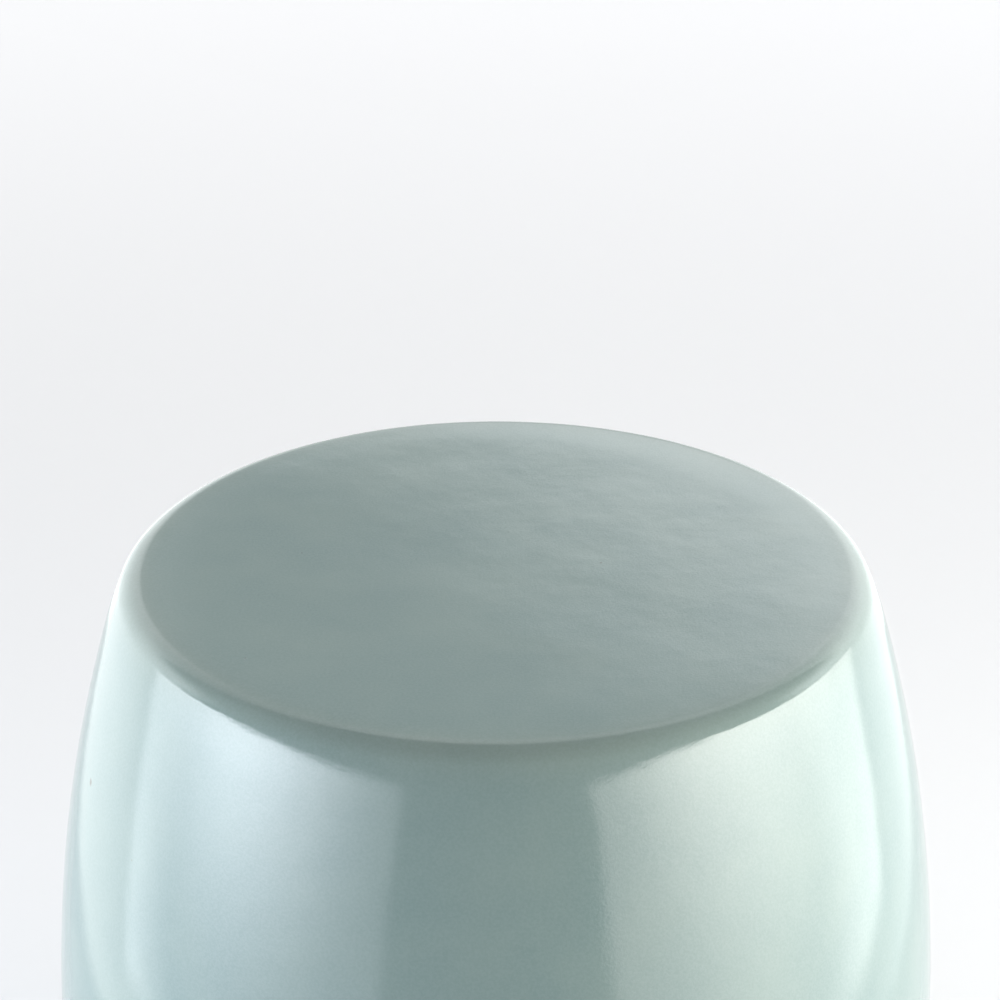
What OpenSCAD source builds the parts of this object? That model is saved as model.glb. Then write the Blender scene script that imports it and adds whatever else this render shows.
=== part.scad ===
// Celadon drum stool: a closed-topped, open-footed stoneware barrel under one thick coat of glaze.
// The barrel is thrown in two halves. They are luted at the waist with a half lap, and the seat
// slab and the foot ring are luted to it in the same way. Millimetres, floor at z = 0, +Z up.

/* [Stool] */
// Height of the seat above the floor
stool_h = 450; // [430:1:480]
// Outside diameter at the waist, the widest place
waist_d = 392; // [378:1:410]
// Radius of the long arc that bulges the side
side_arc = 690; // [650:1:740]
// Radius of the tighter arc that turns the side in below the seat and above the foot
turn_arc = 167; // [140:1:190]
// Slope of the side from vertical where the rounded edge begins, in degrees
edge_slope = 23.3; // [21:0.1:26]
// Radius of the rounded edge around the seat and around the foot
edge_arc = 11.5; // [9:0.5:15]

/* [Stoneware] */
// Thickness of the thrown wall
wall_t = 10; // [8:0.5:13]
// Thickness of the seat slab
slab_t = 13; // [11:0.5:18]
// Height of the step in each half-lap joint
lap_h = 8; // [6:0.5:10]
// Height of the foot ring
foot_h = 24; // [20:1:32]
// Radius of the open mouth inside the foot ring
mouth_r = 122; // [110:1:126]

/* [Luting coils] */
// Height of the flattened coil over the waist joint
waist_coil_h = 30; // [20:1:40]
// How far that coil stands in from the wall
waist_coil_t = 5; // [3:0.5:8]
// Radius of the hollow fillet that the coil makes under the seat
seat_coil_r = 18; // [12:1:24]

/* [Glaze] */
// Thickness of the glaze
glaze_t = 1; // [0.6:0.1:1.5]
// Height of the bare band that was wiped clean above the foot
bare_h = 15; // [12:1:18]

/* [Floor pads] */
// Diameter of a pad
pad_d = 24; // [18:1:26]
// Thickness of the felt
felt_t = 2.4; // [2:0.1:4]
// Thickness of its adhesive backing
backing_t = 0.6; // [0.4:0.1:1]

/* [Hidden] */
$fn = 96;

stoneware = [0.76, 0.70, 0.62];
bare_foot = [0.66, 0.50, 0.40];
celadon = [0.62, 0.74, 0.72];
felt_grey = [0.32, 0.31, 0.30];
backing_cream = [0.88, 0.85, 0.74];

// Outlines are [radius, height] points, with the height measured from the waist.
// The outer surface is the same above and below it, but the foot is bare, so the stoneware
// stands one glaze thickness inside that surface.
pad_n = 4;
pad_t = felt_t + backing_t;
half_h = (stool_h - pad_t + glaze_t) / 2;
waist_r = waist_d / 2;
step = 6; // spacing of the points along the side
edge_steps = 12; // points around the rounded edge
coil_steps = 12; // points across a luting coil
mouth_bevel = 2; // bevel around the mouth, under the foot

// The side is three arcs that meet at a tangent. Their heights add up to half_h, which
// settles the slope where the first arc hands over to the second.
turn_slope = asin(
    (half_h - turn_arc * sin(edge_slope) - edge_arc * (1 - sin(edge_slope))) / (side_arc - turn_arc)
);
side_c = [waist_r - side_arc, 0];
turn_c = side_c + (side_arc - turn_arc) * [cos(turn_slope), sin(turn_slope)];
edge_c = turn_c + (turn_arc - edge_arc) * [cos(edge_slope), sin(edge_slope)];

body_d = glaze_t; // depth of the stoneware's outside below the finished surface
lap_d = glaze_t + wall_t / 2; // depth of a lap's step
inside_d = glaze_t + wall_t; // depth of the wall's inside

body_top = half_h - body_d;
slab_z = body_top - slab_t; // underside of the seat slab
skirt_z = slab_z - lap_h; // lower end of the slab's skirt
foot_z = foot_h - body_top; // upper shoulder of the foot ring
tongue_z = foot_z + lap_h; // top of the foot ring's tongue
glaze_end = bare_h - body_top;
pad_circle = (mouth_r + mouth_bevel + edge_c[0]) / 2;

// Slope from vertical, at height z, of the surface that lies depth d under the finished side
function side_slope(z, d) =
    let (h = abs(z), is_side = h <= turn_c[1] + (turn_arc - d) * sin(turn_slope))
    is_side ? asin(h / (side_arc - d)) : asin((h - turn_c[1]) / (turn_arc - d));

// Radius of that surface at height z
function side_r(z, d) =
    let (a = side_slope(z, d))
    a <= turn_slope ? side_c[0] + (side_arc - d) * cos(a) : turn_c[0] + (turn_arc - d) * cos(a);

// Height at which the rounded edge begins at depth d
function edge_z(d) = edge_c[1] + (edge_arc - d) * sin(edge_slope);

// Points down or up the side at depth d, from height z0 to height z1
function side_curve(z0, z1, d) =
    let (n = ceil(abs(z1 - z0) / step))
    [for (i = [0:n]) let (z = z0 + (z1 - z0) * i / n) [side_r(z, d), z]];

// Points around the rounded edge at depth d, from the side (0) to the flat (edge_steps)
function edge_curve(d, i0 = 0, i1 = edge_steps) =
    [
        for (i = [i0 : sign(i1 - i0) : i1])
            let (a = edge_slope + (90 - edge_slope) * i / edge_steps)
            edge_c + (edge_arc - d) * [cos(a), sin(a)]
    ];

// The same points turned over, for the foot
function turned_over(points) = [for (p = points) [p[0], -p[1]]];

// A list without its first point, which the list before it has already placed
function after_first(points) = [for (i = [1 : len(points) - 1]) points[i]];

seat_lap_r = side_r(slab_z - lap_h / 2, lap_d);
waist_lap_r = side_r(0, lap_d);
foot_lap_r = side_r(foot_z + lap_h / 2, lap_d);

// The stoneware's outside, piece by piece, from the seat's edge down to the end of the glaze
slab_outside = concat(edge_curve(body_d, edge_steps, 1), side_curve(edge_z(body_d), skirt_z, body_d));
upper_outside = side_curve(skirt_z, 0, body_d);
lower_outside = side_curve(0, foot_z, body_d);
foot_outside = side_curve(foot_z, glaze_end, body_d);
glazed_outside = concat(
    slab_outside,
    after_first(upper_outside),
    after_first(lower_outside),
    after_first(foot_outside)
);

// Turns an outline round the stool's axis and sets it at its height over the floor
module turned(points) {
    translate([0, 0, pad_t + body_top])
        rotate_extrude()
            polygon(points);
}

// Sets its children in place of each pad, numbered from 0
module at_pad(i) {
    rotate([0, 0, 360 / pad_n * (i + 0.5)])
        translate([pad_circle, 0, 0])
            children();
}

// Flat disc with a skirt that laps over the upper barrel's rim
module seat_slab() {
    color(stoneware)
        turned(concat(
            [[0, slab_z], [0, body_top]],
            slab_outside,
            [[seat_lap_r, skirt_z], [seat_lap_r, slab_z]]
        ));
}

// Hollow fillet smoothed into the corner between the wall and the slab
module seat_luting_coil() {
    hollow_z = slab_z - seat_coil_r;
    hollow_d = inside_d + seat_coil_r;
    hollow_c = [side_r(hollow_z, hollow_d), hollow_z];
    wall_slope = side_slope(hollow_z, hollow_d);
    hollow = [
        for (i = [0:coil_steps])
            let (a = 90 + (wall_slope - 90) * i / coil_steps)
            hollow_c + seat_coil_r * [cos(a), sin(a)]
    ];
    end_z = hollow_z + seat_coil_r * sin(wall_slope);
    color(stoneware)
        turned(concat(hollow, after_first(side_curve(end_z, slab_z, inside_d))));
}

// Upper half of the barrel, with a tongue above for the slab and one below for the lower half
module upper_barrel() {
    color(stoneware)
        turned(concat(
            upper_outside,
            [[waist_lap_r, 0], [waist_lap_r, -lap_h]],
            side_curve(-lap_h, slab_z, inside_d),
            [[seat_lap_r, slab_z], [seat_lap_r, skirt_z]]
        ));
}

// Coil pressed flat over the joint inside the waist
module waist_luting_coil() {
    top = waist_coil_h / 2 - lap_h;
    bottom = -waist_coil_h / 2 - lap_h;
    wall = side_curve(bottom, top, inside_d);
    crown = [
        for (i = [1:coil_steps - 1])
            let (s = i / coil_steps, z = top + (bottom - top) * s)
            [side_r(z, inside_d) - waist_coil_t * pow(sin(180 * s), 2), z]
    ];
    color(stoneware)
        turned(concat(wall, crown));
}

// Lower half of the barrel, rebated for the tongues above and below it
module lower_barrel() {
    color(stoneware)
        turned(concat(
            lower_outside,
            [[foot_lap_r, foot_z], [foot_lap_r, tongue_z]],
            side_curve(tongue_z, -lap_h, inside_d),
            [[waist_lap_r, -lap_h], [waist_lap_r, 0]]
        ));
}

// Thick ring that the stool stands on, wiped bare of glaze
module foot_ring() {
    tongue_r = side_r(tongue_z, inside_d);
    color(bare_foot)
        turned(concat(
            foot_outside,
            after_first(side_curve(glaze_end, -edge_z(body_d), body_d)),
            turned_over(edge_curve(body_d, 1)),
            [[mouth_r + mouth_bevel, -body_top], [mouth_r, mouth_bevel - body_top]],
            [[mouth_r, foot_z - lap_h], [tongue_r, tongue_z]],
            [[foot_lap_r, tongue_z], [foot_lap_r, foot_z]]
        ));
}

// One skin over the seat, the edge and the side, ending in a soft bevel above the foot
module glaze_coat() {
    color(celadon)
        turned(concat(
            [[0, body_top], [0, half_h]],
            edge_curve(0, edge_steps, 1),
            side_curve(edge_z(0), glaze_end + glaze_t, 0),
            [for (i = [len(glazed_outside) - 1 : -1 : 0]) glazed_outside[i]]
        ));
}

// Adhesive disc between a felt pad and the foot ring
module pad_backing(i) {
    color(backing_cream)
        at_pad(i)
            translate([0, 0, felt_t])
                cylinder(d = pad_d, h = backing_t);
}

// Felt disc that touches the floor
module felt_pad(i) {
    color(felt_grey)
        at_pad(i)
            cylinder(d = pad_d, h = felt_t);
}

seat_slab();
seat_luting_coil();
upper_barrel();
waist_luting_coil();
lower_barrel();
foot_ring();
glaze_coat();
pad_backing(0);  // pad_backing_1
pad_backing(1);  // pad_backing_2
pad_backing(2);  // pad_backing_3
pad_backing(3);  // pad_backing_4
felt_pad(0);  // felt_pad_1
felt_pad(1);  // felt_pad_2
felt_pad(2);  // felt_pad_3
felt_pad(3);  // felt_pad_4
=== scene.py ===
# %% [markdown]
# # A celadon drum stool
#
# The object is a stoneware stool: a closed barrel with a flat seat, glazed in thick celadon all
# over except for the foot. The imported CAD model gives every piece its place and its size. This
# notebook gives the pieces their real surfaces: a glaze with the small swell of something that
# once ran, clay that was thrown and wiped by hand, and felt under the foot.

# %% Load the frame
import math
import bpy
import numpy as np
from mathutils import Matrix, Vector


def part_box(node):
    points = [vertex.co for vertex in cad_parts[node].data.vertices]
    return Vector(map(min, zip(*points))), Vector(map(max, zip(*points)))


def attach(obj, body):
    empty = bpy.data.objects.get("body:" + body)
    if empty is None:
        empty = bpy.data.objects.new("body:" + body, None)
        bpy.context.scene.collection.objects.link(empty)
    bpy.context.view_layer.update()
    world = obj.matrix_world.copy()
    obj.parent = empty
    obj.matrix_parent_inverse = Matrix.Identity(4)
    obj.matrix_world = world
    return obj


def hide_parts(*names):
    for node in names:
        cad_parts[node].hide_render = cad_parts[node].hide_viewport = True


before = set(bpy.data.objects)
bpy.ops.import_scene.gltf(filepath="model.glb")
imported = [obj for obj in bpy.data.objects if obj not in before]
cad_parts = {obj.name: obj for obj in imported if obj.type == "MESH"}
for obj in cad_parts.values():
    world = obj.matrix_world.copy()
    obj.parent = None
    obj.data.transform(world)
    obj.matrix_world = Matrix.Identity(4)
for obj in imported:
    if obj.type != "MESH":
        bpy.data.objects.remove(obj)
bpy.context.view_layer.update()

print("nodes:", sorted(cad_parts))

# %% [markdown]
# ## The stool's outline
#
# A potter turns the side against a template. Its curve is three arcs that meet at a tangent: a
# long one for the belly, a tighter one that turns the side in, and a small one for the rounded
# edge. An outline could be typed in as a list of points, but three radii say it exactly and can
# be sampled as finely as each surface needs. The heights come from the frame's boxes, so the
# curve always fits the CAD pieces.

# %% Heights and radii, in metres
MM = 0.001
glaze_low, glaze_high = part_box("glaze_coat")
foot_low, foot_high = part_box("foot_ring")
seat_low, seat_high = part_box("seat_slab")
GLAZE_T = glaze_high[2] - seat_high[2]
SEAT_Z = glaze_high[2]
FOOT_Z = foot_low[2]
WAIST_Z = (SEAT_Z + FOOT_Z - GLAZE_T) / 2
HALF_H = SEAT_Z - WAIST_Z
WAIST_R = glaze_high[0]
SIDE_ARC = 690 * MM
TURN_ARC = 167 * MM
EDGE_ARC = 11.5 * MM
EDGE_SLOPE = math.radians(23.3)

sine = math.sin(EDGE_SLOPE)
TURN_SLOPE = math.asin((HALF_H - TURN_ARC * sine - EDGE_ARC * (1 - sine)) / (SIDE_ARC - TURN_ARC))
SIDE_C = np.array([WAIST_R - SIDE_ARC, 0])
TURN_C = SIDE_C + (SIDE_ARC - TURN_ARC) * np.array([math.cos(TURN_SLOPE), math.sin(TURN_SLOPE)])
EDGE_C = TURN_C + (TURN_ARC - EDGE_ARC) * np.array([math.cos(EDGE_SLOPE), math.sin(EDGE_SLOPE)])
print("waist radius %.4f, seat disc radius %.4f" % (WAIST_R, EDGE_C[0]))


# %% The side at any depth
def side_slope(z, depth):
    """Angle of the side's normal above horizontal, for heights z from the waist.

    Each arc is a circle, so the slope is the arcsine of the height above the arc's centre over
    the arc's radius. Going in by a depth shortens the radius and keeps the centre.
    """
    h = np.abs(z)
    long_arc = np.arcsin(h / (SIDE_ARC - depth))
    short_arc = np.arcsin(np.clip((h - TURN_C[1]) / (TURN_ARC - depth), -1, 1))
    return np.where(long_arc <= TURN_SLOPE, long_arc, short_arc)


def side_r(z, depth):
    """Radius at height z: the arc centre's radius plus the arc's radius times the slope's cosine."""
    slope = side_slope(z, depth)
    on_side = SIDE_C[0] + (SIDE_ARC - depth) * np.cos(slope)
    on_turn = TURN_C[0] + (TURN_ARC - depth) * np.cos(slope)
    return np.where(slope <= TURN_SLOPE, on_side, on_turn)


def side(z0, z1, depth, count):
    """Points of the side from height z0 to z1, as rows of radius and height over the floor."""
    z = np.linspace(z0, z1, count)
    return np.column_stack([side_r(z, depth), z + WAIST_Z])


def edge(depth, count, flip=1):
    """Points of the rounded edge, from the flat to the side; flip -1 gives the one at the foot."""
    angle = np.linspace(math.pi / 2, EDGE_SLOPE, count)
    reach = EDGE_ARC - depth
    r = EDGE_C[0] + reach * np.cos(angle)
    z = flip * (EDGE_C[1] + reach * np.sin(angle))
    return np.column_stack([r, z + WAIST_Z])


def edge_end(depth):
    """Height from the waist where the rounded edge gives way to the side."""
    return EDGE_C[1] + (EDGE_ARC - depth) * math.sin(EDGE_SLOPE)


def join(*runs):
    """One outline from several runs, without the points where a run starts on the last one's end."""
    points = np.concatenate([np.atleast_2d(run) for run in runs])
    gap = np.linalg.norm(np.diff(points, axis=0), axis=1)
    return points[np.concatenate([[True], gap > 1e-6])]


# %% [markdown]
# ## Turning an outline
#
# Everything round on the stool is an outline carried round the axis. Blender's Spin or Screw tool
# would do it, but a grid in numpy lets each point also move a little along its normal, which is
# where a hand-made surface comes from. The grid has one row for each point of the outline and one
# column for each step round. A row that lies on the axis shrinks to a single point.

# %% Build a mesh from a grid
def normals_2d(points, closed):
    """Unit normals of an outline in its own plane: its tangent turned a quarter of a circle."""
    if closed:
        tangent = np.roll(points, -1, axis=0) - np.roll(points, 1, axis=0)
    else:
        tangent = np.gradient(points, axis=0)
    tangent /= np.linalg.norm(tangent, axis=1, keepdims=True)
    return np.column_stack([-tangent[:, 1], tangent[:, 0]])


def make_object(name, vertices, faces, marks=None):
    """A smooth mesh object from arrays, with one float attribute for each entry of marks."""
    mesh = bpy.data.meshes.new(name)
    mesh.from_pydata(vertices.tolist(), [], faces)
    for mark, values in (marks or {}).items():
        layer = mesh.attributes.new(mark, "FLOAT", "POINT")
        layer.data.foreach_set("value", values.astype(np.float32))
    mesh.polygons.foreach_set("use_smooth", np.ones(len(faces), bool))
    mesh.update()
    piece = bpy.data.objects.new(name, mesh)
    bpy.context.scene.collection.objects.link(piece)
    return piece


def turn(name, outline, steps, relief=None, marks=None, closed=False, centre=(0, 0)):
    """Carries an outline of radius and height round an upright axis in that many steps.

    The outline runs clockwise in the plane of radius and height, so its normals point out of the
    solid. relief(xyz, row) gives how far each point moves along its normal, in metres, and
    marks(xyz, row) gives named float attributes. An open outline starts and ends on the axis.
    """
    rows = len(outline)
    around = np.arange(steps) * 2 * math.pi / steps
    normal = normals_2d(outline, closed)
    rr, zz = outline[:, 0, None], outline[:, 1, None]
    xyz = np.stack([rr * np.cos(around), rr * np.sin(around), zz + 0 * around], axis=-1)
    xyz = xyz + [*centre, 0]
    nr, nz = normal[:, 0, None], normal[:, 1, None]
    out = np.stack([nr * np.cos(around), nr * np.sin(around), nz + 0 * around], axis=-1)
    row = np.repeat(np.arange(rows)[:, None], steps, axis=1)
    if relief is not None:
        xyz = xyz + out * relief(xyz, row)[..., None]
    values = marks(xyz, row) if marks is not None else {}
    index = row * steps + np.arange(steps)
    last = rows if closed else rows - 1
    a = index[:last]
    b = np.roll(index, -1, axis=0)[:last]
    quads = np.stack([a, b, np.roll(b, -1, axis=1), np.roll(a, -1, axis=1)], axis=-1)
    vertices = xyz.reshape(-1, 3)
    flat = {mark: value.reshape(-1) for mark, value in values.items()}
    if closed:
        return make_object(name, vertices, quads.reshape(-1, 4).tolist(), flat)
    keep = slice(steps - 1, len(vertices) - steps + 1)
    vertices = vertices[keep].copy()
    vertices[0, :2] = centre
    vertices[-1, :2] = centre
    flat = {mark: value[keep] for mark, value in flat.items()}
    middle = quads[1:-1].reshape(-1, 4) - (steps - 1)
    ring = np.arange(steps)
    after = np.roll(ring, -1)
    top = np.stack([0 * ring, ring + 1, after + 1], axis=-1)
    end = len(vertices) - 1
    first = end - steps
    low = np.stack([ring + first, 0 * ring + end, after + first], axis=-1)
    return make_object(name, vertices, top.tolist() + middle.tolist() + low.tolist(), flat)


# %% [markdown]
# ## Small swell
#
# Glaze and thrown clay are never true. Their error is smooth and has no pattern, like a calm sea.
# A sum of plane waves with random directions and a chosen range of lengths makes such a field
# anywhere in space, with no seam round the pot, and it needs only a seeded list of waves.

# %% A field of waves
def swell(xyz, shortest, longest, height, seed, count=40):
    """Sum of plane waves: each has a random direction, length and phase, and all add up to a
    surface whose typical height is the one asked for. Long waves are taller than short ones."""
    rng = np.random.default_rng(seed)
    direction = rng.normal(size=(count, 3))
    direction /= np.linalg.norm(direction, axis=1, keepdims=True)
    length = shortest * (longest / shortest) ** rng.random(count)
    phase = rng.random(count) * 2 * math.pi
    weight = length / longest
    total = np.zeros(xyz.shape[:-1])
    for k in range(count):
        total += weight[k] * np.sin(xyz @ direction[k] * (2 * math.pi / length[k]) + phase[k])
    return height * total / math.sqrt(np.sum(weight**2) / 2)


def bearing(xyz):
    """Angle round the axis, in radians."""
    return np.arctan2(xyz[..., 1], xyz[..., 0])


# %% [markdown]
# ## Nodes in few lines
#
# Materials are trees of nodes. One helper adds a node, sets its options, and sets or links its
# inputs, so each material below reads as a list of what it is made of.

# %% Node helpers
def add(tree, kind, inputs=None, **options):
    """Adds a node. An input that is a socket gets linked, and any other value is set."""
    made = tree.nodes.new(kind)
    for option, value in options.items():
        setattr(made, option, value)
    for key, value in (inputs or {}).items():
        if isinstance(value, bpy.types.NodeSocket):
            tree.links.new(value, made.inputs[key])
        else:
            made.inputs[key].default_value = value
    return made


def maths(tree, operation, a, b=0.0):
    """One Math node's result."""
    return add(tree, "ShaderNodeMath", {0: a, 1: b}, operation=operation).outputs[0]


def span(tree, value, low, high, out_low=0.0, out_high=1.0):
    """Value rescaled smoothly from low..high to out_low..out_high."""
    inputs = {"Value": value, "From Min": low, "From Max": high, "To Min": out_low, "To Max": out_high}
    made = add(tree, "ShaderNodeMapRange", inputs, interpolation_type="SMOOTHSTEP")
    return made.outputs["Result"]


def blend_colour(tree, factor, a, b):
    """Two colours mixed by a factor. A colour is a socket or three numbers."""
    made = add(tree, "ShaderNodeMix", {0: factor}, data_type="RGBA")
    for slot_number, colour in ((6, a), (7, b)):
        if isinstance(colour, bpy.types.NodeSocket):
            tree.links.new(colour, made.inputs[slot_number])
        else:
            made.inputs[slot_number].default_value = (*colour, 1)
    return made.outputs[2]


def noise(tree, vector, scale, detail=2.0, rough=0.5, distortion=0.0):
    """A noise texture's grey value."""
    inputs = {"Vector": vector, "Scale": scale, "Detail": detail, "Roughness": rough}
    inputs["Distortion"] = distortion
    return add(tree, "ShaderNodeTexNoise", inputs).outputs["Fac"]


def new_group(name, inputs, outputs):
    """An empty shader node group with named float, vector or colour sockets."""
    group = bpy.data.node_groups.new(name, "ShaderNodeTree")
    for direction, sockets in (("INPUT", inputs), ("OUTPUT", outputs)):
        for label, kind in sockets.items():
            group.interface.new_socket(name=label, in_out=direction, socket_type="NodeSocket" + kind)
    return group, group.nodes.new("NodeGroupInput").outputs, group.nodes.new("NodeGroupOutput").inputs


def new_material(name, roughness, **uniform):
    """A material with one Principled shader; uniform values go on its own sockets."""
    material = bpy.data.materials.new(name)
    material.use_nodes = True
    tree = material.node_tree
    tree.nodes.clear()
    shader = add(tree, "ShaderNodeBsdfPrincipled", {"Roughness": roughness, **uniform})
    add(tree, "ShaderNodeOutputMaterial", {"Surface": shader.outputs["BSDF"]})
    place = add(tree, "ShaderNodeTexCoord").outputs["Object"]
    return material, tree, shader, place


# %% [markdown]
# ## Spots
#
# Iron specks in the glaze, pinholes, and grog in the clay are all the same pattern: small round
# spots, scattered, each of its own size, with most places empty. Voronoi cells give one candidate
# spot to each cell, and the cell's random colour decides whether it is there and how large it is.
# Several finishes use it, so it is a node group.

# %% Group: scattered spots
def make_spots():
    """Mask is 1 inside a spot: distance to the cell's centre under Size times the cell's luck."""
    sockets_in = {"Vector": "Vector", "Spacing": "Float", "Size": "Float", "Share": "Float"}
    group, given, result = new_group("scattered_spots", sockets_in, {"Mask": "Float"})
    scale = maths(group, "DIVIDE", 1.0, given["Spacing"])
    cells = add(group, "ShaderNodeTexVoronoi", {"Vector": given["Vector"], "Scale": scale})
    luck = add(group, "ShaderNodeSeparateColor", {"Color": cells.outputs["Color"]}).outputs
    absent = maths(group, "GREATER_THAN", luck[0], given["Share"])
    relative = maths(group, "DIVIDE", given["Size"], given["Spacing"])
    size = maths(group, "MULTIPLY", relative, span(group, luck[1], 0.0, 1.0, 0.35, 1.0))
    nearness = maths(group, "DIVIDE", cells.outputs["Distance"], size)
    spot = span(group, nearness, 0.45, 1.0, 1.0, 0.0)
    mask = maths(group, "MULTIPLY", spot, maths(group, "SUBTRACT", 1.0, absent))
    group.links.new(mask, result["Mask"])
    return group


SPOTS = make_spots()


def place_group(tree, group, inputs):
    """Adds a node group to a tree, sets or links its inputs, and returns its outputs."""
    made = tree.nodes.new("ShaderNodeGroup")
    made.node_tree = group
    for key, value in inputs.items():
        if isinstance(value, bpy.types.NodeSocket):
            tree.links.new(value, made.inputs[key])
        elif isinstance(value, tuple):
            made.inputs[key].default_value = (*value, 1)
        else:
            made.inputs[key].default_value = value
    return made.outputs


def spots(tree, vector, spacing, size, share):
    """Places the spots group and returns its mask. Sizes are in metres."""
    inputs = {"Vector": vector, "Spacing": spacing, "Size": size, "Share": share}
    return place_group(tree, SPOTS, inputs)["Mask"]


# %% [markdown]
# ## The glaze
#
# Celadon is a thick, pale blue-green glass over buff clay. Where it runs thin, over the rounded
# edge, the clay warms it; where it gathers, above the foot, it is deeper. The mesh carries two
# attributes that say where that happens, thin and pool, so the colour follows the form and not
# the camera. The skin could be the CAD shell with bumps painted on, but reflections slide over
# real swell in a way that paint can't copy, so the surface itself is made again here.

# %% The glaze's shape
BARE_H = glaze_low[2] - FOOT_Z
AROUND = 432
ROLL_H = 9 * MM
ROLL_T = 0.7 * MM
THINNED = 0.42 * MM
THIN_REACH = 14 * MM
print("glaze %.1f mm thick, ends %.0f mm above the foot" % (GLAZE_T / MM, BARE_H / MM))


def glaze_outline():
    """Seat, rounded edge, side, a rounded nose at the end of the glaze, and back up inside."""
    end = BARE_H - HALF_H + GLAZE_T
    seat = np.column_stack([np.linspace(0, EDGE_C[0], 42), np.full(42, SEAT_Z)])
    nose = np.linspace(0.25, 1, 4)[:, None] * math.pi / 2
    low = side(end, end, 0, 1)[0]
    inside_low = side(end, end, GLAZE_T, 1)[0]
    bottom = inside_low + (low - inside_low) * np.cos(nose) - [0, GLAZE_T] * np.sin(nose)
    inner_side = side(end, edge_end(GLAZE_T), GLAZE_T, 24)
    inner_edge = edge(GLAZE_T, 5)[::-1]
    inner_seat = np.array([[EDGE_C[0] * 0.5, SEAT_Z - GLAZE_T], [0, SEAT_Z - GLAZE_T]])
    outer = join(seat, edge(0, 14), side(edge_end(0), end + GLAZE_T, 0, 128))
    return outer, join(outer, bottom, inner_side, inner_edge, inner_seat)


outer_run, glaze_run = glaze_outline()
OUTER_ROWS = len(outer_run)


def glaze_relief(xyz, row):
    """Swell of long and short waves, thinner on the rounded edge, and a roll where the glaze stopped.

    Thinning and roll are bell curves of the distance from the edge and from the glaze's end.
    """
    radius = np.hypot(xyz[..., 0], xyz[..., 1])
    skin = row < OUTER_ROWS
    gentle = swell(xyz, 45 * MM, 160 * MM, 0.055 * MM, 11)
    fine = swell(xyz, 14 * MM, 40 * MM, 0.011 * MM, 12)
    above_end = xyz[..., 2] - glaze_low[2]
    roll = np.exp(-((above_end / ROLL_H) ** 2)) * ROLL_T
    uneven = 1 + 0.5 * swell(xyz, 30 * MM, 90 * MM, 1, 13)
    from_edge = np.hypot(radius - EDGE_C[0] - 3 * MM, xyz[..., 2] - SEAT_Z)
    thin = -THINNED * np.exp(-((from_edge / THIN_REACH) ** 2))
    return np.where(skin, gentle + fine + thin + roll * np.clip(uneven, 0.2, 2), 0)


def glaze_marks(xyz, row):
    """thin is 1 on the rounded edge, pool is 1 just above the end of the glaze."""
    radius = np.hypot(xyz[..., 0], xyz[..., 1])
    height = xyz[..., 2]
    from_edge = np.hypot(radius - EDGE_C[0] - 6 * MM, height - SEAT_Z + 3 * MM)
    thin = np.exp(-((from_edge / (9 * MM)) ** 2))
    pool = np.exp(-(((height - glaze_low[2]) / (16 * MM)) ** 2))
    return {"thin": thin, "pool": pool}


glaze = turn("glaze_skin", glaze_run, AROUND, glaze_relief, glaze_marks)
print("glaze skin: %d faces" % len(glaze.data.polygons))


# %% [markdown]
# ## The glaze's material
#
# A Principled shader with an index of 1.5 and little roughness is glass over a colour. The
# colour is a cloudy mix of two near tones. Sparse iron specks burn brown through the glaze, and
# pinholes prick the surface; their dark colour is painted shade inside each pit. Tiny seed
# bubbles lie all through it, so its grain is both a bump and a milky tone. Subsurface scattering
# would be truer to a fired glaze seen close to, but on a stool this size it can't be seen, and it
# costs noise.

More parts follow.
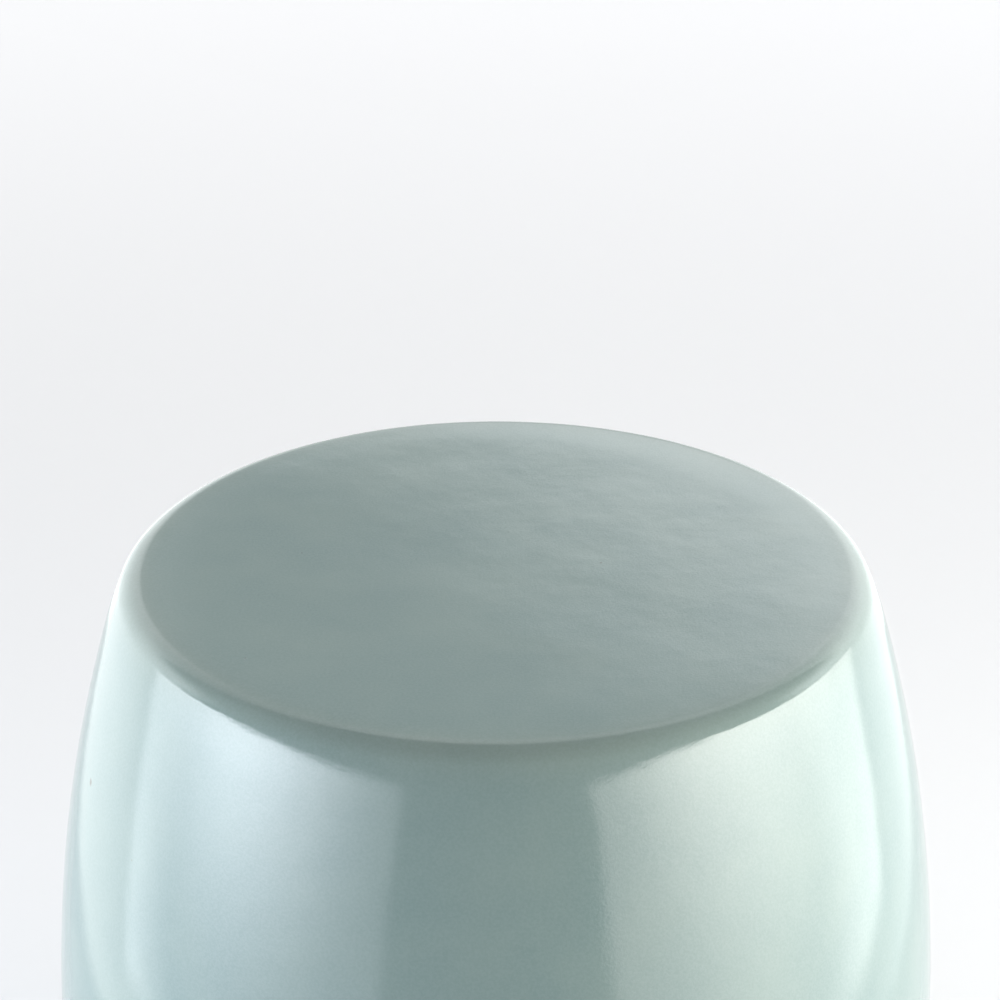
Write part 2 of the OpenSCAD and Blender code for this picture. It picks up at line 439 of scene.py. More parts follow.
# %% Celadon
def make_celadon():
    """Cloudy blue-green, warmer where thin, deeper where pooled, with specks, and pinholes darkened by
    painted shade.
    """
    material, tree, shader, place = new_material("celadon", 0.06, IOR=1.5)
    thin = add(tree, "ShaderNodeAttribute", attribute_name="thin").outputs["Fac"]
    pool = add(tree, "ShaderNodeAttribute", attribute_name="pool").outputs["Fac"]
    clouds = noise(tree, place, 9.0, 3.0, 0.55, 0.4)
    streaks = noise(tree, place, 34.0, 2.0, 0.5)
    cloudy = span(tree, clouds, 0.3, 0.7)
    colour = blend_colour(tree, cloudy, (0.172, 0.239, 0.235), (0.193, 0.259, 0.250))
    colour = blend_colour(tree, span(tree, streaks, 0.35, 0.75, 0.0, 0.25), colour, (0.23, 0.29, 0.27))
    colour = blend_colour(tree, maths(tree, "MULTIPLY", thin, 0.28), colour, (0.23, 0.26, 0.215))
    colour = blend_colour(tree, maths(tree, "MULTIPLY", pool, 0.6), colour, (0.11, 0.19, 0.19))
    iron = spots(tree, place, 58 * MM, 2.6 * MM, 0.35)
    flecks = spots(tree, place, 21 * MM, 0.8 * MM, 0.25)
    rust = maths(tree, "MAXIMUM", maths(tree, "MULTIPLY", iron, 0.75), maths(tree, "MULTIPLY", flecks, 0.5))
    colour = blend_colour(tree, rust, colour, (0.10, 0.075, 0.05))
    pinhole_pits_and_painted_shade = spots(tree, place, 34 * MM, 0.9 * MM, 0.3)
    # painted shade: each pinhole's colour is pulled towards a deep glaze tone, standing in for the shade
    # inside the tiny pit
    colour = blend_colour(tree, maths(tree, "MULTIPLY", pinhole_pits_and_painted_shade, 0.55), colour, (0.07, 0.09, 0.085))
    seeds = noise(tree, place, 900.0, 2.0, 0.6)
    milky = span(tree, seeds, 0.3, 0.7, 0.0, 0.3)
    colour = blend_colour(tree, milky, colour, (0.25, 0.31, 0.30))
    tree.links.new(colour, shader.inputs["Base Color"])
    pebble = noise(tree, place, 110.0, 1.0, 0.5)
    height = maths(tree, "MULTIPLY", seeds, 0.04)
    height = maths(tree, "ADD", height, maths(tree, "MULTIPLY", pebble, 0.06))
    height = maths(tree, "SUBTRACT", height, maths(tree, "MULTIPLY", pinhole_pits_and_painted_shade, 0.25))
    bump = add(tree, "ShaderNodeBump", {"Height": height, "Distance": MM, "Strength": 1.0})
    tree.links.new(bump.outputs["Normal"], shader.inputs["Normal"])
    return material


CELADON = make_celadon()
glaze.data.materials.append(CELADON)
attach(glaze, "root")
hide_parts("glaze_coat")

# %% [markdown]
# ## The clay
#
# Under the glaze the stool is five luted pieces and a seat slab. They only show at the foot and
# through the mouth underneath, where the wall still has the spiral that the potter's fingers left
# and the coils still have thumb marks. Each outline follows the half laps of the CAD model. Its
# corners are softened the way a wet sponge softens them: the outline is sampled evenly and each
# point is averaged with its neighbours a few times. A bevel modifier would need every corner
# picked by hand.

# %% Sizes of the clay pieces
WALL_T = 10 * MM
BODY_D = GLAZE_T
LAP_D = GLAZE_T + WALL_T / 2
INSIDE_D = GLAZE_T + WALL_T
seat_coil_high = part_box("seat_luting_coil")[1]
waist_coil_low, waist_coil_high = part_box("waist_luting_coil")
lower_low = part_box("lower_barrel")[0]
upper_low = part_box("upper_barrel")[0]
BODY_TOP = HALF_H - GLAZE_T
SLAB_Z = seat_coil_high[2] - WAIST_Z
SKIRT_Z = seat_low[2] - WAIST_Z
LAP_Z = upper_low[2] - WAIST_Z
SHOULDER_Z = lower_low[2] - WAIST_Z
TONGUE_Z = foot_high[2] - WAIST_Z
SEAT_LAP_R = float(side_r((SLAB_Z + SKIRT_Z) / 2, LAP_D))
WAIST_LAP_R = float(side_r(0, LAP_D))
FOOT_LAP_R = float(side_r((SHOULDER_Z + TONGUE_Z) / 2, LAP_D))
MOUTH_R = 122 * MM
MOUTH_BEVEL = 2 * MM
SEAT_COIL_R = 18 * MM
WAIST_COIL_T = 5 * MM
RING_PITCH = 13 * MM
print("slab %.1f mm, laps at radii %.1f, %.1f and %.1f mm" % (
    (BODY_TOP - SLAB_Z) / MM, SEAT_LAP_R / MM, WAIST_LAP_R / MM, FOOT_LAP_R / MM))


# %% Outlines of the clay pieces
def at(*pairs):
    """Points from pairs of radius and height from the waist."""
    return np.array(pairs) + [0, WAIST_Z]


def soften(points, spacing, passes, closed=True):
    """The outline sampled evenly, then averaged with its neighbours a few times.

    p[i] becomes p[i-1]/4 + p[i]/2 + p[i+1]/4. Straight runs stay put and corners round off.
    """
    run = np.vstack([points, points[:1]]) if closed else points
    along = np.concatenate([[0], np.cumsum(np.linalg.norm(np.diff(run, axis=0), axis=1))])
    count = int(round(along[-1] / spacing))
    places = np.linspace(0, along[-1], count, endpoint=not closed)
    even = np.column_stack([np.interp(places, along, run[:, 0]), np.interp(places, along, run[:, 1])])
    for _ in range(passes):
        mean = (np.roll(even, 1, axis=0) + 2 * even + np.roll(even, -1, axis=0)) / 4
        if not closed:
            mean[[0, -1]] = even[[0, -1]]
        even = mean
    return even


def foot_edge():
    """The rounded edge of the foot, from the side to the flat underneath."""
    return edge(BODY_D, 14, flip=-1)[::-1]


slab_run = join(at((0, BODY_TOP)), edge(BODY_D, 12), side(edge_end(BODY_D), SKIRT_Z, BODY_D, 12),
                at((SEAT_LAP_R, SKIRT_Z), (SEAT_LAP_R, SLAB_Z), (0, SLAB_Z)))
upper_run = join(side(SKIRT_Z, 0, BODY_D, 90), at((WAIST_LAP_R, 0), (WAIST_LAP_R, LAP_Z)),
                 side(LAP_Z, SLAB_Z, INSIDE_D, 90), at((SEAT_LAP_R, SLAB_Z), (SEAT_LAP_R, SKIRT_Z)))
lower_run = join(side(0, SHOULDER_Z, BODY_D, 90), at((FOOT_LAP_R, SHOULDER_Z), (FOOT_LAP_R, TONGUE_Z)),
                 side(TONGUE_Z, LAP_Z, INSIDE_D, 90), at((WAIST_LAP_R, LAP_Z), (WAIST_LAP_R, 0)))
foot_run = join(side(SHOULDER_Z, -edge_end(BODY_D), BODY_D, 20), foot_edge(),
                at((MOUTH_R + MOUTH_BEVEL, -BODY_TOP), (MOUTH_R, MOUTH_BEVEL - BODY_TOP),
                   (MOUTH_R, 2 * SHOULDER_Z - TONGUE_Z), (float(side_r(TONGUE_Z, INSIDE_D)), TONGUE_Z),
                   (FOOT_LAP_R, TONGUE_Z), (FOOT_LAP_R, SHOULDER_Z)))


def seat_coil_outline():
    """A hollow quarter curve from the slab to the wall, then the wall and the slab behind it."""
    hollow_z = SLAB_Z - SEAT_COIL_R
    hollow_d = INSIDE_D + SEAT_COIL_R
    slope = float(side_slope(hollow_z, hollow_d))
    angle = np.linspace(slope, math.pi / 2, 20)
    r = float(side_r(hollow_z, hollow_d)) + SEAT_COIL_R * np.cos(angle)
    z = hollow_z + SEAT_COIL_R * np.sin(angle) + WAIST_Z
    end_z = hollow_z + SEAT_COIL_R * math.sin(slope)
    return join(np.column_stack([r, z]), side(SLAB_Z, end_z, INSIDE_D, 12))[:-1]


def waist_coil_outline():
    """A coil pressed flat: its height over the wall is a squared sine."""
    low, high = waist_coil_low[2] - WAIST_Z, waist_coil_high[2] - WAIST_Z
    share = np.linspace(0, 1, 22)[1:-1]
    z = low + (high - low) * share
    crown = np.column_stack([side_r(z, INSIDE_D) - WAIST_COIL_T * np.sin(math.pi * share) ** 2, z + WAIST_Z])
    return join(side(high, low, INSIDE_D, 18), crown)


# %% [markdown]
# ## Marks of the hand
#
# Fingers climbing a turning wall leave a spiral: its height depends on z plus a share of the
# bearing, so each turn starts one pitch above the last. On the coils a thumb pressed at each step
# round leaves a row of shallow dents. The foot was trimmed, sponged and set down, so it has a
# faint ripple from the tool and a few small chips on its lower edge.

# %% Relief of the clay pieces
def thrown(xyz, row):
    """Spiral ridges on the inside of the wall, and a slow waver all over it."""
    radius = np.hypot(xyz[..., 0], xyz[..., 1])
    inner = radius < side_r(xyz[..., 2] - WAIST_Z, INSIDE_D - 1 * MM)
    turns = xyz[..., 2] / RING_PITCH + bearing(xyz) / (2 * math.pi)
    waver = swell(xyz, 60 * MM, 200 * MM, 1, 21)
    ridge = 0.38 * MM * np.sin(2 * math.pi * turns + 0.5 * waver)
    return np.where(inner, ridge - 0.3 * MM + 0.18 * MM * waver, 0)


THUMB_COUNT = 44


def thumbed(xyz, row):
    """Shallow thumb dents evenly round the coil, with a waver that shifts them."""
    press = np.cos(bearing(xyz) * THUMB_COUNT + 1.5 * swell(xyz, 50 * MM, 150 * MM, 1, 22))
    return -0.35 * MM * np.clip(press, 0, 1) ** 2 + swell(xyz, 25 * MM, 80 * MM, 0.12 * MM, 23)


def slabbed(xyz, row):
    """The slab's underside, scraped with a straight rib: long low waves only."""
    under = xyz[..., 2] < SLAB_Z + WAIST_Z + 1 * MM
    return np.where(under, swell(xyz, 35 * MM, 140 * MM, 0.14 * MM, 24) - 0.1 * MM, 0)


CHIP_COUNT = 9


def trimmed(xyz, row):
    """Tool ripple, and chips: each chip is a small bell-shaped dent low on the foot's edges."""
    rng = np.random.default_rng(31)
    angle = bearing(xyz)
    radius = np.hypot(xyz[..., 0], xyz[..., 1])
    height = xyz[..., 2] - FOOT_Z
    bare = height < BARE_H + 6 * MM
    ripple = 0.05 * MM * np.sin(2 * math.pi * height / (3.4 * MM) + angle)
    total = ripple + swell(xyz, 20 * MM, 90 * MM, 0.08 * MM, 32) - 0.12 * MM
    for _ in range(CHIP_COUNT):
        turn_to = rng.random() * 2 * math.pi
        ring = rng.choice([EDGE_C[0] + 4 * MM, MOUTH_R + 1 * MM])
        size = (1.2 + 1.6 * rng.random()) * MM
        across = (np.mod(angle - turn_to + math.pi, 2 * math.pi) - math.pi) * radius
        away = np.sqrt((across / 1.6) ** 2 + (radius - ring) ** 2 + (height - 1.5 * MM) ** 2)
        total -= 0.28 * size * np.exp(-((away / size) ** 2))
    return np.where(bare | (radius < FOOT_LAP_R - 1 * MM), total, 0)


def foot_marks(xyz, row):
    """toast is 1 at the end of the glaze; sole is 1 where the foot stands."""
    height = xyz[..., 2] - FOOT_Z
    radius = np.hypot(xyz[..., 0], xyz[..., 1])
    outer = radius > EDGE_C[0]
    toast = np.exp(-(((height - BARE_H) / (4.5 * MM)) ** 2)) * outer
    sole = np.clip(1 - height / (1.5 * MM), 0, 1)
    return {"toast": toast, "sole": sole}


# %% Build the clay pieces
AROUND_CLAY = 240
slab = turn("stoneware_seat", soften(slab_run, 2.5 * MM, 2, closed=False), AROUND_CLAY, slabbed)
upper = turn("stoneware_upper", soften(upper_run, 2 * MM, 2), AROUND_CLAY, thrown, closed=True)
lower = turn("stoneware_lower", soften(lower_run, 2 * MM, 2), AROUND_CLAY, thrown, closed=True)
seat_coil = turn("stoneware_seat_coil", seat_coil_outline(), 352, thumbed, closed=True)
waist_coil = turn("stoneware_waist_coil", waist_coil_outline(), 352, thumbed, closed=True)
foot = turn("foot_clay", soften(foot_run, 1 * MM, 2), 360, trimmed, foot_marks, closed=True)


def volume(piece):
    """Signed volume in litres: the sum over triangles of the box product of the corners over six.
    It is positive when the normals point outwards."""
    piece.data.calc_loop_triangles()
    count = len(piece.data.loop_triangles)
    corners = np.empty(count * 3, np.int32)
    piece.data.loop_triangles.foreach_get("vertices", corners)
    places = np.empty(len(piece.data.vertices) * 3)
    piece.data.vertices.foreach_get("co", places)
    a, b, c = np.moveaxis(places.reshape(-1, 3)[corners.reshape(-1, 3)], 1, 0)
    return float(np.sum(a * np.cross(b, c)) / 6 * 1000)


for piece in (glaze, slab, upper, lower, seat_coil, waist_coil, foot):
    print("%-22s %6d triangles, %7.3f litres" % (
        piece.name, len(piece.data.polygons) * 2, volume(piece)))

# %% [markdown]
# ## The clay's materials
#
# Stoneware clay is grey-buff with grog, which is crushed fired clay, and with specks of iron.
# Lines run round it where hands and tools passed while it turned. Both effects are node groups,
# because the inside and the foot share them. The foot is the same clay, but the flame reached it:
# bare clay next to glaze fires orange-brown, so a toasted line follows the end of the glaze.
# Under the foot the clay was rubbed smooth on a wet board, so it is paler.

# %% Groups: clay grain and turning lines
def make_turning_lines():
    """Noise that is quick along radius and height and slow round the axis, so it draws rings."""
    sockets_in = {"Vector": "Vector", "Spacing": "Float"}
    group, given, result = new_group("turning_lines", sockets_in, {"Value": "Float"})
    x, y, z = add(group, "ShaderNodeSeparateXYZ", {0: given["Vector"]}).outputs
    flat = add(group, "ShaderNodeCombineXYZ", {0: x, 1: y}).outputs[0]
    radius = add(group, "ShaderNodeVectorMath", {0: flat}, operation="LENGTH").outputs["Value"]
    slow = maths(group, "MULTIPLY", maths(group, "ADD", x, maths(group, "MULTIPLY", y, 0.7)), 0.05)
    rings = add(group, "ShaderNodeCombineXYZ", {0: radius, 1: z, 2: slow}).outputs[0]
    scale = maths(group, "DIVIDE", 1.0, given["Spacing"])
    lines = add(group, "ShaderNodeTexNoise", {"Vector": rings, "Scale": scale, "Detail": 3.0})
    group.links.new(lines.outputs["Fac"], result["Value"])
    return group


def make_clay_grain():
    """Colour of clouded clay with grog and iron, and the height of its grain, from 0 to 1."""
    sockets_in = {"Vector": "Vector", "Light": "Color", "Dark": "Color", "Grog": "Float"}
    group, given, result = new_group("clay_grain", sockets_in, {"Colour": "Color", "Height": "Float"})
    where = given["Vector"]
    clouds = span(group, noise(group, where, 13.0, 4.0, 0.6), 0.3, 0.7)
    colour = blend_colour(group, clouds, given["Light"], given["Dark"])
    grog = spots(group, where, 3.2 * MM, 0.8 * MM, given["Grog"])
    iron = spots(group, where, 11 * MM, 0.7 * MM, 0.4)
    colour = blend_colour(group, maths(group, "MULTIPLY", grog, 0.35), colour, (0.62, 0.57, 0.50))
    colour = blend_colour(group, maths(group, "MULTIPLY", iron, 0.8), colour, (0.09, 0.05, 0.03))
    fine = noise(group, where, 700.0, 4.0, 0.65)
    height = maths(group, "ADD", maths(group, "MULTIPLY", fine, 0.6), maths(group, "MULTIPLY", grog, 0.4))
    group.links.new(colour, result["Colour"])
    group.links.new(height, result["Height"])
    return group


TURNING_LINES = make_turning_lines()
CLAY_GRAIN = make_clay_grain()


# %% Stoneware and the bare foot
def make_clay(name, roughness, light, dark, grog, line_spacing, line_height, grain_height):
    """Clay whose colour and bump come from the two groups. Returns its colour to be built on."""
    material, tree, shader, place = new_material(name, roughness, IOR=1.45)
    given = {"Vector": place, "Light": light, "Dark": dark, "Grog": grog}
    grain = place_group(tree, CLAY_GRAIN, given)
    lines = place_group(tree, TURNING_LINES, {"Vector": place, "Spacing": line_spacing})["Value"]
    shade = span(tree, lines, 0.25, 0.75, 0.0, 0.22)
    colour = blend_colour(tree, shade, grain["Colour"], dark)
    low = maths(tree, "MULTIPLY", grain["Height"], grain_height)
    height = maths(tree, "ADD", low, maths(tree, "MULTIPLY", lines, line_height))
    bump = add(tree, "ShaderNodeBump", {"Height": height, "Distance": MM, "Strength": 1.0})
    tree.links.new(bump.outputs["Normal"], shader.inputs["Normal"])
    return material, tree, shader, place, colour


def make_stoneware():
    """The inside: dry, buff and dusty."""
    light, dark = (0.36, 0.31, 0.25), (0.27, 0.225, 0.175)
    made = make_clay("stoneware_clay", 0.86, light, dark, 0.6, 2.2 * MM, 0.35, 0.16)
    material, tree, shader, _, colour = made
    tree.links.new(colour, shader.inputs["Base Color"])
    return material


def make_foot():
    """Toasted orange-brown beside the glaze, buff lower down, paler and rubbed on the sole."""
    light, dark = (0.40, 0.285, 0.185), (0.29, 0.19, 0.115)
    made = make_clay("foot_clay", 0.72, light, dark, 0.5, 1.3 * MM, 0.12, 0.10)
    material, tree, shader, place, colour = made
    toast = add(tree, "ShaderNodeAttribute", attribute_name="toast").outputs["Fac"]
    sole = add(tree, "ShaderNodeAttribute", attribute_name="sole").outputs["Fac"]
    patchy = span(tree, noise(tree, place, 26.0, 3.0, 0.6), 0.3, 0.65, 0.4, 1.0)
    burnt = maths(tree, "MULTIPLY", toast, patchy)
    colour = blend_colour(tree, maths(tree, "MULTIPLY", burnt, 0.85), colour, (0.27, 0.105, 0.04))
    colour = blend_colour(tree, maths(tree, "MULTIPLY", sole, 0.55), colour, (0.50, 0.43, 0.34))
    smear = maths(tree, "MULTIPLY", span(tree, noise(tree, place, 60.0, 2.0, 0.5), 0.62, 0.75), 0.3)
    colour = blend_colour(tree, smear, colour, (0.46, 0.48, 0.44))
    tree.links.new(colour, shader.inputs["Base Color"])
    return material


STONEWARE = make_stoneware()
BARE_FOOT = make_foot()
clay_pieces = {
    "seat_slab": slab, "upper_barrel": upper, "lower_barrel": lower,
    "seat_luting_coil": seat_coil, "waist_luting_coil": waist_coil, "foot_ring": foot,
}
for node, piece in clay_pieces.items():
    bare = node == "foot_ring"
    piece.data.materials.append(BARE_FOOT if bare else STONEWARE)
    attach(piece, "root")
    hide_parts(node)
print("clay pieces in place:", len(clay_pieces))

# %% [markdown]
# ## Felt pads
#
# Four felt discs are stuck under the foot so the stool can slide without scratching. Felt is
# punched from a sheet, so the rim is cut straight but the nap softens it, and its faces are not
# quite flat. The backing is a thin disc of foam tape. Both are the same turning, off the axis.

# %% Pads and backings
def disc_outline(radius, low, high, corner):
    """A disc from its top's centre to its underside's centre, with both corners rounded."""
    quarter = np.linspace(0, math.pi / 2, 7)
    inset = radius - corner
    top = np.column_stack([inset + corner * np.sin(quarter), high - corner + corner * np.cos(quarter)])
    low_part = np.column_stack([inset + corner * np.cos(quarter), low + corner - corner * np.sin(quarter)])
    faces = np.linspace(0, inset, 12)
    over = np.column_stack([faces, np.full(12, high)])
    under = np.column_stack([faces[::-1], np.full(12, low)])
    return join(over, top, low_part, under)


def nap(xyz, row):
    """Felt's uneven face: short swell, pressed in a little so that it stays inside the disc."""
    return swell(xyz, 1.6 * MM, 9 * MM, 0.045 * MM, 41, count=60) - 0.09 * MM


def pressed(xyz, row):
    """Foam tape cut by a punch: nearly true."""
    return swell(xyz, 6 * MM, 20 * MM, 0.01 * MM, 42) - 0.02 * MM


pads, backings = [], []
for number in range(1, 5):
    low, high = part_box("felt_pad_%d" % number)
    tape_low, tape_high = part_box("pad_backing_%d" % number)
    centre = ((low[0] + high[0]) / 2, (low[1] + high[1]) / 2)
    radius = (high[0] - low[0]) / 2
    felt_run = disc_outline(radius, low[2], high[2], 0.7 * MM)
    tape_run = disc_outline(radius, tape_low[2], tape_high[2], 0.12 * MM)
    pads.append(turn("felt_%d" % number, felt_run, 96, nap, centre=centre))
    backings.append(turn("felt_backing_%d" % number, tape_run, 96, pressed, centre=centre))
print("pad radius %.1f mm, volume %.5f litres" % (radius / MM, volume(pads[0])))


# %% Felt and foam tape
def make_felt():
    """Grey wool: fibres are noise stretched three ways, so threads cross in every direction."""
    material, tree, shader, place = new_material("grey_felt", 0.95)
    shader.inputs["Sheen Weight"].default_value = 0.5
    fibres = None
    for turn_by, lean in ((0.3, 0.2), (1.4, -0.4), (2.5, 0.5)):
        rotation = (lean, lean / 2, turn_by)
        stretch = {"Vector": place, "Rotation": rotation, "Scale": (0.12, 1.0, 1.0)}
        aligned = add(tree, "ShaderNodeMapping", stretch).outputs[0]
        strand = noise(tree, aligned, 2600.0, 3.0, 0.6, 0.6)
        fibres = strand if fibres is None else maths(tree, "MAXIMUM", fibres, strand)
    bright = span(tree, fibres, 0.5, 0.78)
    colour = blend_colour(tree, bright, (0.075, 0.072, 0.07), (0.19, 0.185, 0.18))
    flock = span(tree, noise(tree, place, 320.0, 2.0, 0.5), 0.35, 0.7, 0.0, 0.35)
    colour = blend_colour(tree, flock, colour, (0.11, 0.105, 0.10))
    tree.links.new(colour, shader.inputs["Base Color"])
    bump = add(tree, "ShaderNodeBump", {"Height": fibres, "Distance": 0.4 * MM, "Strength": 0.8})
    tree.links.new(bump.outputs["Normal"], shader.inputs["Normal"])
    return material


def make_tape():
    """Cream foam tape: closed cells give it a faint dimpled skin and an uneven yellowing."""
    material, tree, shader, place = new_material("foam_tape", 0.55)
    aged = span(tree, noise(tree, place, 90.0, 2.0, 0.5), 0.3, 0.7)
    colour = blend_colour(tree, aged, (0.70, 0.66, 0.54), (0.63, 0.57, 0.42))
    cells = add(tree, "ShaderNodeTexVoronoi", {"Vector": place, "Scale": 3200.0}).outputs["Distance"]
    tree.links.new(colour, shader.inputs["Base Color"])
    bump = add(tree, "ShaderNodeBump", {"Height": cells, "Distance": 0.1 * MM, "Strength": 0.6})
    tree.links.new(bump.outputs["Normal"], shader.inputs["Normal"])
    return material


FELT = make_felt()
TAPE = make_tape()
for number in range(1, 5):
    pad, backing = pads[number - 1], backings[number - 1]
    pad.data.materials.append(FELT)
    backing.data.materials.append(TAPE)
    for piece, node, slot_name in ((pad, "felt_pad", "felt"), (backing, "pad_backing", "pad_backing")):
        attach(piece, "root")
        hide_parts("%s_%d" % (node, number))
print("pads:", [pad.name for pad in pads])

# %% [markdown]
# ## The floor
#
# The stool stands on white paper that runs on behind it until it fills the view. A curved sweep
# is what a studio uses, but a camera that looks down sees only the flat part of it. The paper is
# plain matt tone, because anything on it would compete with the glaze. Its colour darkens a little
# towards the front, which is painted shade: the light falling off away from the far lights. Seen
# from below it is clear, so the foot can be looked at.

# %% Lay the floor
def make_floor():
    """A table's width of pale paper under the stool, and the same floor carried on around it.

    The panels reach below the table, and the glaze shows them down to there. So the floor past
    the table is for the camera alone.
    """
    near, wide, front, back = 0.62, 12.0, -0.36, 0.95
    table = [[-near, front], [near, front], [near, back], [-near, back]]
    around = [[-wide, -wide], [wide, -wide], [wide, wide], [-wide, wide]] + table
    beyond = [[0, 1, 5, 4], [1, 2, 6, 5], [2, 3, 7, 6], [3, 0, 4, 7]]
    sheets = []
    for name, outline, faces in (("studio_table", table, [[0, 1, 2, 3]]),
                                 ("studio_floor", around, beyond)):
        corners = np.column_stack([np.array(outline), np.zeros(len(outline))])
        sheets.append(make_object(name, corners, faces))
    material, tree, shader, place = new_material("floor_paper", 0.6)
    depth = add(tree, "ShaderNodeSeparateXYZ", {0: place}).outputs["Y"]
    # painted shade: the paper's colour darkens towards the front, standing in for the light falling off away
    # from the far lights
    paper = blend_colour(tree, span(tree, depth, -0.3, 0.6), (0.53, 0.53, 0.545), (0.60, 0.60, 0.612))
    tree.links.new(paper, shader.inputs["Base Color"])
    behind = add(tree, "ShaderNodeNewGeometry").outputs["Backfacing"]
    clear = add(tree, "ShaderNodeBsdfTransparent")
    both = add(tree, "ShaderNodeMixShader", {0: behind, 1: shader.outputs[0], 2: clear.outputs[0]})
    output = [node for node in tree.nodes if node.type == "OUTPUT_MATERIAL"][0]
    tree.links.new(both.outputs[0], output.inputs["Surface"])
    for sheet in sheets:
        sheet.data.materials.append(material)
    for ray in ("diffuse", "glossy", "transmission", "shadow"):
        setattr(sheets[1], "visible_" + ray, False)
    return sheets


floor_sheets = make_floor()
print("floor sheets:", [sheet.name for sheet in floor_sheets])


# %% [markdown]
# ## The lights
#
# Glaze shows its lights more than its own colour. Two tall soft panels stand beside the stool and
# lean in at the top. They leave a dark gap between them down the front, and their sharp edges
# draw the form. A panel is an area light whose emission is brighter at a spot, the way a lamp
# shows through its diffuser. Mesh emitters would do the same, but they take longer to sample.
# Two more lights have no reflection of their own: one is for the seat, the other for the far
# floor.

# %% Panels and fills
TILT_IN = math.radians(13)


def make_light(name, azimuth, distance, width, low, high, colour, levels, spot, roll=0.0):
    """A soft panel that faces the stool's axis and leans in at the top.

    levels are its radiance at its first end and at its last end, and what a bright spot adds.
    The spot fades as a bell curve; it holds its place across and up the panel and its width
    across and up, all as shares of the panel. roll lifts the panel's last end, in radians.
    """
    light = bpy.data.lights.new(name, "AREA")
    light.shape = "RECTANGLE"
    light.size = width
    light.size_y = high - low
    light.color = colour
    light.energy = math.pi * width * (high - low)
    light.use_nodes = True
    tree = light.node_tree
    tree.nodes.clear()
    place = add(tree, "ShaderNodeNewGeometry").outputs["Parametric"]
    across, up = add(tree, "ShaderNodeSeparateXYZ", {0: place}).outputs[:2]
    dx = maths(tree, "DIVIDE", maths(tree, "SUBTRACT", across, spot[0]), spot[2])
    dy = maths(tree, "DIVIDE", maths(tree, "SUBTRACT", up, spot[1]), spot[3])
    square = maths(tree, "ADD", maths(tree, "MULTIPLY", dx, dx), maths(tree, "MULTIPLY", dy, dy))
    bell = maths(tree, "EXPONENT", maths(tree, "MULTIPLY", square, -1.0))
    slope = maths(tree, "MULTIPLY", across, levels[1] - levels[0])
    base = maths(tree, "ADD", slope, levels[0])
    strength = maths(tree, "ADD", maths(tree, "MULTIPLY", bell, levels[2]), base)
    emission = add(tree, "ShaderNodeEmission", {"Color": (1, 1, 1, 1), "Strength": strength})
    add(tree, "ShaderNodeOutputLight", {"Surface": emission.outputs[0]})
    panel = bpy.data.objects.new(name, light)
    bpy.context.scene.collection.objects.link(panel)
    panel.visible_camera = False
    a = math.radians(azimuth)
    away = np.array([math.sin(a), -math.cos(a), 0])
    upward = np.array([0, 0, 1])
    along = np.array([-away[1], away[0], 0])
    rise = upward * math.cos(TILT_IN) - away * math.sin(TILT_IN)
    matrix = np.eye(4)
    matrix[:3, 0] = along * math.cos(roll) + rise * math.sin(roll)
    matrix[:3, 1] = rise * math.cos(roll) - along * math.sin(roll)
    matrix[:3, 2] = away * math.cos(TILT_IN) + upward * math.sin(TILT_IN)
    matrix[:3, 3] = away * distance + np.array([0, 0, (low + high) / 2])
    panel.matrix_world = Matrix(matrix.tolist())
    return panel


COOL = (0.87, 0.93, 1.0)
PLAIN = (1.0, 1.0, 0.95)
LEFT_SPOT = (0.50, 0.93, 0.27, 0.44)
RIGHT_SPOT = (0.47, 0.95, 0.28, 0.50)
PANEL_AWAY = 1.1
PANEL_LOW = -0.3
panels = [
    make_light("panel_left", -64.5, PANEL_AWAY, 1.76, PANEL_LOW, 0.61, COOL, (1.9, 1.3, 11), LEFT_SPOT, 0.04),
    make_light("panel_right", 70, PANEL_AWAY, 2.12, PANEL_LOW, 0.68, PLAIN, (2.1, 2.4, 9.0), RIGHT_SPOT),
]


def make_fill(name, place, aim, width, depth, level):
    """A soft light from above that brightens matt tones and has no reflection of its own."""
    light = bpy.data.lights.new(name, "AREA")
    light.shape = "RECTANGLE"
    light.size = width
    light.size_y = depth
    light.energy = math.pi * width * depth * level
    lamp = bpy.data.objects.new(name, light)
    bpy.context.scene.collection.objects.link(lamp)
    lamp.visible_camera = False
    lamp.visible_glossy = False
    direction = np.array(aim, float) - np.array(place, float)
    direction /= np.linalg.norm(direction)
    side_axis = np.cross(direction, [0.0, 1.0, 0.0])
    side_axis /= np.linalg.norm(side_axis)
    matrix = np.eye(4)
    matrix[:3, 0] = side_axis
    matrix[:3, 1] = np.cross(-direction, side_axis)
    matrix[:3, 2] = -direction
    matrix[:3, 3] = place
    lamp.matrix_world = Matrix(matrix.tolist())
    return lamp


fills = [
    make_fill("fill_above", (0, -0.5, 2.1), (0, 0, 0.4), 1.2, 1.2, 1.65),
    make_fill("fill_floor", (0, 3.6, 2.8), (0, 3.6, 0), 7.0, 4.0, 2.25),
]
print("lights:", [lamp.name for lamp in panels + fills])

# %% [markdown]
# ## The room
#
# What the seat reflects is the far wall, seen at a flat angle. The wall is lit unevenly, brighter
# on the right and near the table, and it ends overhead in a hard edge. That edge is the fine
# line along the front of the seat, and it wavers because the glaze does. The world shader
# paints all of this by direction. The camera itself sees one even tone. Near the horizon behind
# the stool the wall is dimmer, or the far rim would shine like a wire.

# %% The world
bpy.context.scene.view_settings.view_transform = "Standard"
world = bpy.data.worlds.new("studio")
bpy.context.scene.world = world
world.use_nodes = True


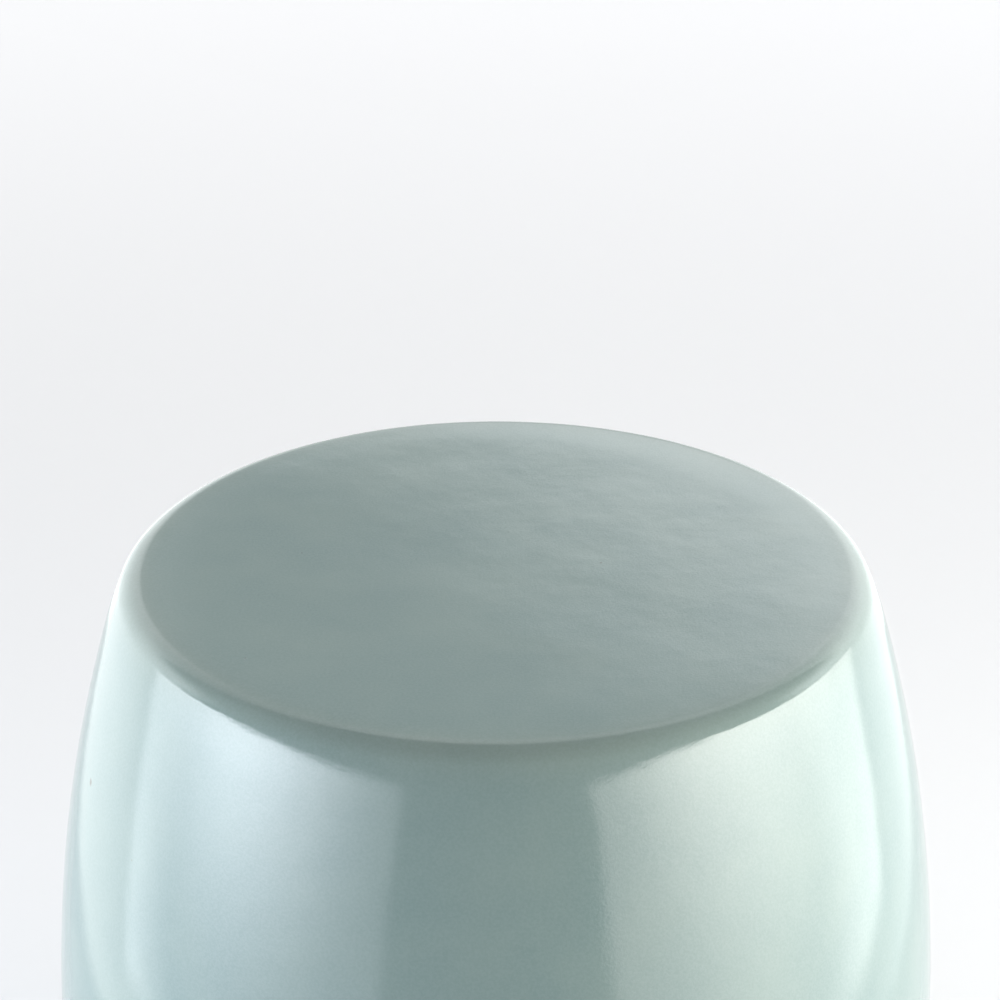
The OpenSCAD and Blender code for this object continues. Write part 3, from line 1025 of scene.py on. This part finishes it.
def make_room():
    """Dark in front and overhead, bright walls at the back and at the back of each side.

    The backdrop reaches high behind the stool and ends in a sharp edge, where the direction's run
    back, less its run to the side, falls under a share of its rise. The side walls are lower.
    middle is the wall straight behind: it brightens to the right along a slanted front, which is
    the soft diagonal on the seat. low is the wall on both sides, which the rounded edge shows.
    grazing is what is left of the light well under the horizon.
    """
    tree = world.node_tree
    direction = add(tree, "ShaderNodeTexCoord").outputs["Generated"]
    x, y, z = add(tree, "ShaderNodeSeparateXYZ", {0: direction}).outputs
    beside = maths(tree, "MULTIPLY", maths(tree, "ABSOLUTE", x), 0.55)
    over = maths(tree, "MULTIPLY", z, 0.34)
    inside = maths(tree, "SUBTRACT", maths(tree, "SUBTRACT", y, beside), over)
    backdrop = span(tree, inside, -0.01, 0.01)
    walls = maths(tree, "MULTIPLY", span(tree, y, -0.05, 0.25), span(tree, z, 0.35, 0.66, 1.0, 0.0))
    lit = maths(tree, "MAXIMUM", backdrop, walls)
    lean = maths(tree, "SUBTRACT", x, maths(tree, "MULTIPLY", maths(tree, "SUBTRACT", z, 0.41), 1.1))
    step = span(tree, lean, -0.02, 0.03, 0.0, 0.22)
    middle = maths(tree, "ADD", span(tree, lean, -0.10, 0.15, 0.42, 2.2), step)
    middle = maths(tree, "ADD", middle, span(tree, z, 0.50, 0.85, 0.0, 0.8))
    middle = add(tree, "ShaderNodeMix", {0: span(tree, z, 0.25, 0.37), 2: 1.0, 3: middle}).outputs[0]
    aside = span(tree, maths(tree, "ABSOLUTE", x), 0.10, 0.26)
    low = maths(tree, "MULTIPLY", span(tree, z, 0.45, 0.70, 1.85, 0.8),
                span(tree, x, 0.0, 0.2, 1.0, span(tree, z, 0.05, 0.35, 1.1, 1.5)))
    glow = add(tree, "ShaderNodeMix", {0: aside, 2: middle, 3: low}).outputs[0]
    glow = maths(tree, "MULTIPLY", glow, span(tree, x, -0.90, -0.45, 1.35, 1.0))
    grazing = span(tree, maths(tree, "ABSOLUTE", x), 0.10, 0.26, 0.55, 0.85)
    glow = maths(tree, "MULTIPLY", glow, span(tree, z, -0.45, -0.27, grazing, 1.0))
    strength = maths(tree, "ADD", maths(tree, "MULTIPLY", glow, lit), 0.06)
    seen = add(tree, "ShaderNodeLightPath").outputs["Is Camera Ray"]
    strength = add(tree, "ShaderNodeMix", {0: seen, 2: strength, 3: 0.86}).outputs[0]
    shade = tree.nodes["Background"]
    shade.inputs[0].default_value = (0.98, 1.0, 1.0, 1)
    tree.links.new(strength, shade.inputs[1])


make_room()
print("world:", world.name)

# %% [markdown]
# ## The camera
#
# A short telephoto stands a little over a metre away and looks down at 25 degrees. It is aimed
# over the stool's middle, so the picture cuts the stool off near its waist and leaves the upper
# half of the frame empty, as a page layout needs.

# %% Place the camera
FIELD = math.radians(20)
TILT = math.radians(24.94)
DISTANCE = 6.631 * WAIST_R
RISE = 0.17651 * DISTANCE
ASIDE = 0.0018


def make_camera():
    """Looks down at the stool, aimed above its middle."""
    camera_data = bpy.data.cameras.new("camera")
    camera_data.angle = FIELD
    camera_data.clip_end = 100
    camera = bpy.data.objects.new("camera", camera_data)
    bpy.context.scene.collection.objects.link(camera)
    forward = np.array([0, math.cos(TILT), -math.sin(TILT)])
    up = np.array([0, math.sin(TILT), math.cos(TILT)])
    right = np.array([1, 0, 0])
    spot = np.array([ASIDE, 0, WAIST_Z]) - DISTANCE * forward + RISE * up
    matrix = np.eye(4)
    matrix[:3, 0] = right
    matrix[:3, 1] = up
    matrix[:3, 2] = -forward
    matrix[:3, 3] = spot
    camera.matrix_world = Matrix(matrix.tolist())
    bpy.context.scene.camera = camera


make_camera()
print("camera %.2f m from the stool's middle" % math.hypot(DISTANCE, RISE))
